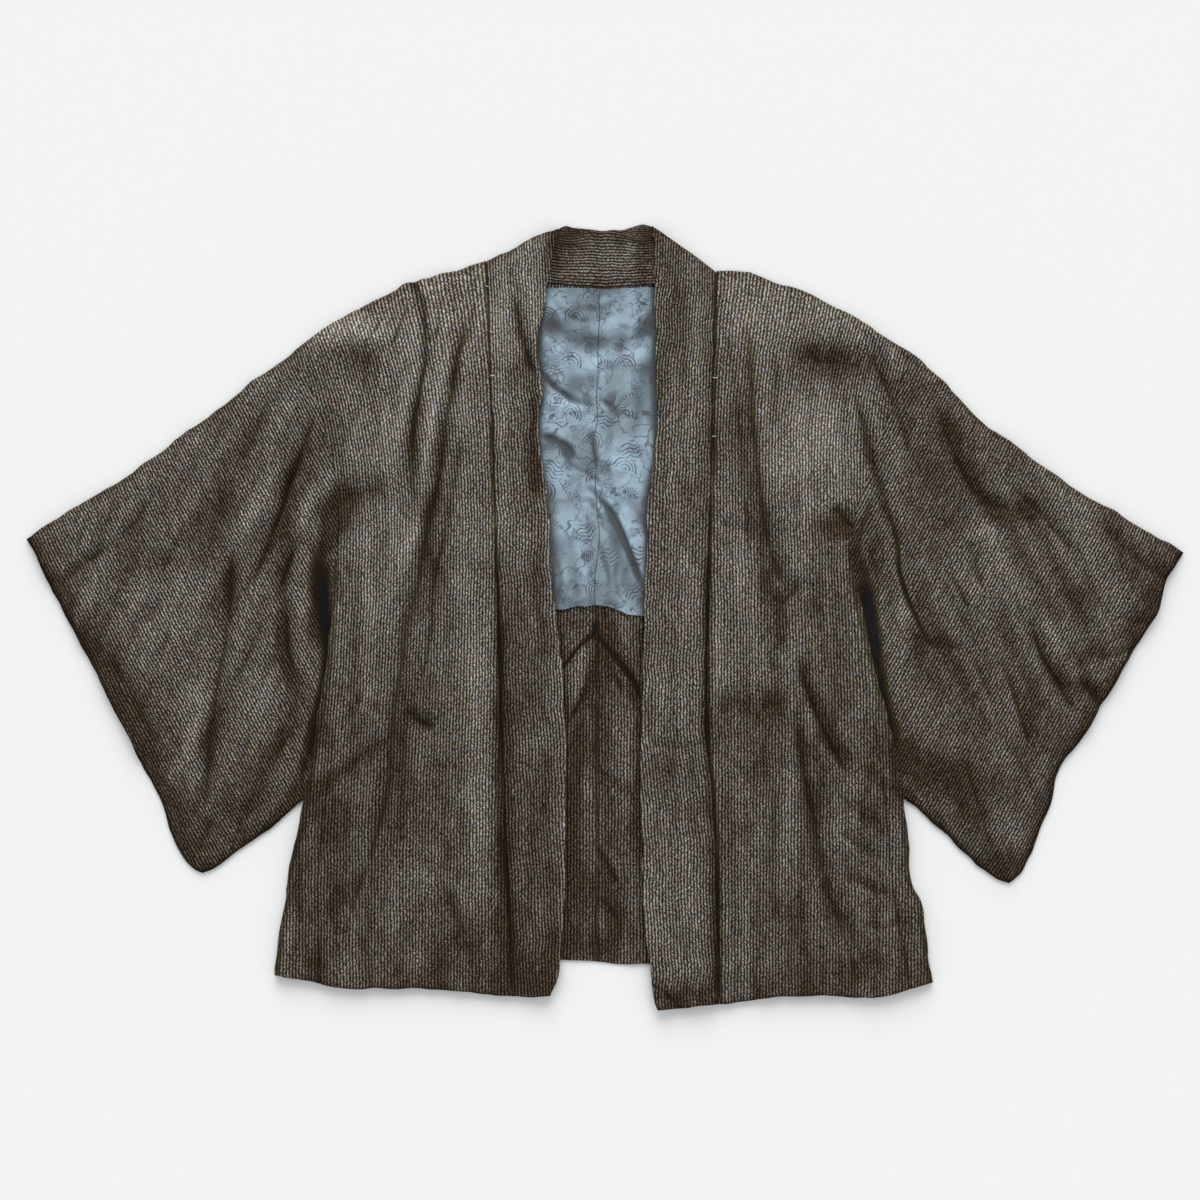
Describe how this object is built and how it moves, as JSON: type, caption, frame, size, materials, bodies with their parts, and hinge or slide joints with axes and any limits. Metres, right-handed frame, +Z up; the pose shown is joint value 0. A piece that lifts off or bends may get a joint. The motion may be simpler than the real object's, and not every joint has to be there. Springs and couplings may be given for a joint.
{
  "type": "haori jacket",
  "caption": "Short haori jacket laid flat, front side up: crepe body with wide square sleeves, side gussets, a long collar strip round the neck and a lining over the upper back.",
  "frame": {"origin": "on the surface that the jacket lies on, under the middle of its bounding box", "axes": "+X across the jacket from the -X sleeve (called left, as seen from above with the hem towards the viewer) to the +X sleeve, +Y from the hem to the collar, +Z up out of the front"},
  "size_m": [1.1548, 0.7869, 0.0124],
  "materials": {
    "crepe": "crepe weave, dark brown ground with fine pale dashed stripes",
    "lining": "smooth printed lining silk, pale grey blue"
  },
  "bodies": {
    "root": {"body_left": "crepe", "body_right": "crepe", "gusset_left": "crepe", "gusset_right": "crepe", "sleeve_left": "crepe", "sleeve_right": "crepe", "collar": "crepe", "lining_left": "lining", "lining_right": "lining"}
  },
  "joints": []
}
